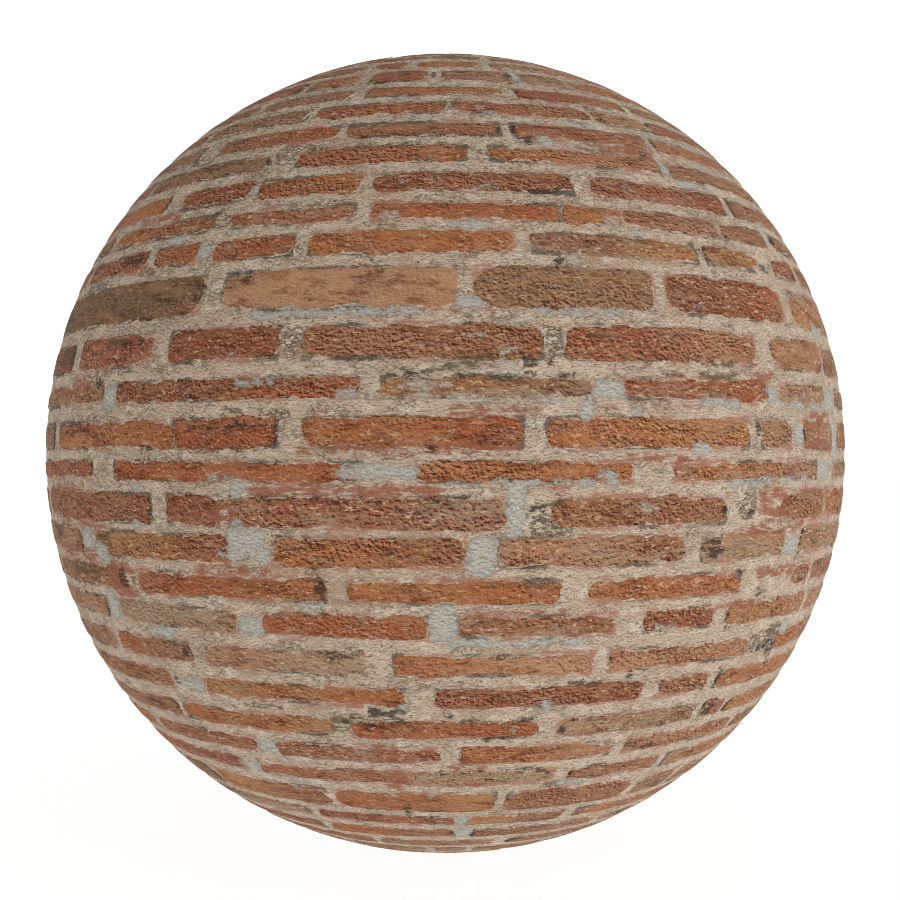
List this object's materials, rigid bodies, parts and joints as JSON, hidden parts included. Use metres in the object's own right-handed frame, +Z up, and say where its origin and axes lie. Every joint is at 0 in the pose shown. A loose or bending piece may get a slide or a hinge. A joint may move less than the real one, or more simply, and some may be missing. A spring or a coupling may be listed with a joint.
{
  "type": "brick ball",
  "caption": "Solid masonry ball of old thin bricks laid in level rings with wide lime mortar joints, standing on a small flat foot.",
  "frame": {"origin": "centre of the flat bedding face underneath", "axes": "+Z up through the crown, -Y towards the side in the picture, +X to its right"},
  "size_m": [1.3998, 1.3998, 1.3815],
  "materials": {
    "red_clay": "rough fired clay, orange red",
    "dark_clay": "rough fired clay, dark red",
    "buff_clay": "rough fired clay, brown to buff",
    "lime_mortar": "weathered lime mortar, beige grey",
    "rubble_fill": "brick rubble packed in mortar"
  },
  "bodies": {
    "root": {"foot_course": "dark_clay", "brick_course_01": "dark_clay", "brick_course_02": "buff_clay", "brick_course_03": "red_clay", "brick_course_04": "dark_clay", "brick_course_05": "buff_clay", "brick_course_06": "red_clay", "brick_course_07": "dark_clay", "brick_course_08": "buff_clay", "brick_course_09": "red_clay", "brick_course_10": "dark_clay", "brick_course_11": "buff_clay", "brick_course_12": "red_clay", "brick_course_13": "dark_clay", "brick_course_14": "buff_clay", "brick_course_15": "red_clay", "brick_course_16": "dark_clay", "brick_course_17": "buff_clay", "brick_course_18": "red_clay", "brick_course_19": "dark_clay", "brick_course_20": "buff_clay", "brick_course_21": "red_clay", "brick_course_22": "dark_clay", "brick_course_23": "buff_clay", "brick_course_24": "red_clay", "brick_course_25": "dark_clay", "brick_course_26": "buff_clay", "brick_course_27": "red_clay", "brick_course_28": "dark_clay", "brick_course_29": "buff_clay", "brick_course_30": "red_clay", "brick_course_31": "dark_clay", "brick_course_32": "buff_clay", "brick_course_33": "red_clay", "crown_closer": "red_clay", "joint_mortar": "lime_mortar", "rubble_core": "rubble_fill"}
  },
  "joints": []
}
